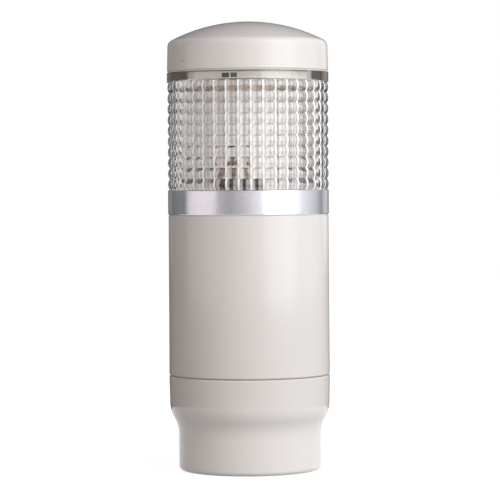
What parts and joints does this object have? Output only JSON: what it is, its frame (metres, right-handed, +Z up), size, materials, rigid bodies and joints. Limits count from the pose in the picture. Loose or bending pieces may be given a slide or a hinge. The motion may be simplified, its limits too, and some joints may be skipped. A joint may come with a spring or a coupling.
{
  "type": "stack light",
  "caption": "Single-tier round signal tower: domed cap, clear ribbed lens, silver band, off-white body and a base with a narrow foot, for fastening from below.",
  "frame": {"origin": "centre of the base's underside, the face that stands on the machine", "axes": "+Z up along the tower's axis; the front, with the lead wires, faces -Y"},
  "size_m": [0.0602, 0.0602, 0.1671],
  "materials": {
    "housing": "off-white moulded plastic, fine satin gloss",
    "silver": "satin silver paint",
    "clear_lens": "clear moulded polycarbonate",
    "diffuser": "translucent white moulding",
    "carrier": "white moulding",
    "dark_plastic": "black moulding",
    "board": "white solder mask",
    "green_board": "green solder mask",
    "led_package": "white LED package",
    "brass": "bare brass",
    "steel": "zinc plated",
    "rubber": "black rubber",
    "gasket": "tan rubber",
    "capacitor": "sleeved can",
    "choke": "wound coil",
    "fuse": "moulded fuse",
    "terminal": "green moulding",
    "red_wire": "insulated wire",
    "orange_wire": "insulated wire",
    "yellow_wire": "insulated wire"
  },
  "bodies": {
    "base": {"mounting_base": "housing", "mounting_inserts": "brass", "cable_grommet": "rubber", "body": "housing", "body_seal": "rubber", "body_screws": "steel", "main_board": "green_board", "board_header": "dark_plastic", "capacitor_1": "capacitor", "capacitor_2": "capacitor", "choke_coil": "choke", "rectifier": "dark_plastic", "fuse": "fuse", "terminal_block": "terminal", "output_transistor_1": "dark_plastic", "output_transistor_2": "dark_plastic", "output_transistor_3": "dark_plastic", "contact_board": "green_board", "contact_tracks": "brass", "contact_board_screws": "steel"},
    "led_unit": {"led_unit_base": "dark_plastic", "unit_seal": "rubber", "contact_springs": "brass", "silver_ring": "silver", "lens": "clear_lens", "lens_screws": "steel", "board_carrier": "carrier", "diffuser_tube": "diffuser", "top_board": "board", "driver_chip_1": "dark_plastic", "driver_chip_2": "dark_plastic", "top_led_1": "led_package", "top_led_2": "led_package", "lead_connector": "dark_plastic", "lead_wire_red": "red_wire", "lead_wire_orange": "orange_wire", "lead_wire_yellow": "yellow_wire", "led_board_1": "board", "led_board_2": "board", "led_board_3": "board", "cover_gasket": "gasket", "led_1_on_board_1": "led_package", "led_1_on_board_2": "led_package", "led_1_on_board_3": "led_package", "led_2_on_board_1": "led_package", "led_2_on_board_2": "led_package", "led_2_on_board_3": "led_package", "led_3_on_board_1": "led_package", "led_3_on_board_2": "led_package", "led_3_on_board_3": "led_package", "led_4_on_board_1": "led_package", "led_4_on_board_2": "led_package", "led_4_on_board_3": "led_package"},
    "head_cover": {"head_cover": "housing"}
  },
  "joints": [
    {"name": "led_unit_twist", "type": "hinge", "parent": "base", "child": "led_unit", "pos_m": [0, 0, 0.0954], "axis": [0, 0, 1], "range_deg": [0, 30]},
    {"name": "head_cover_twist", "type": "hinge", "parent": "led_unit", "child": "head_cover", "pos_m": [0, 0, 0.1486], "axis": [0, 0, 1], "range_deg": [0, 30]}
  ]
}
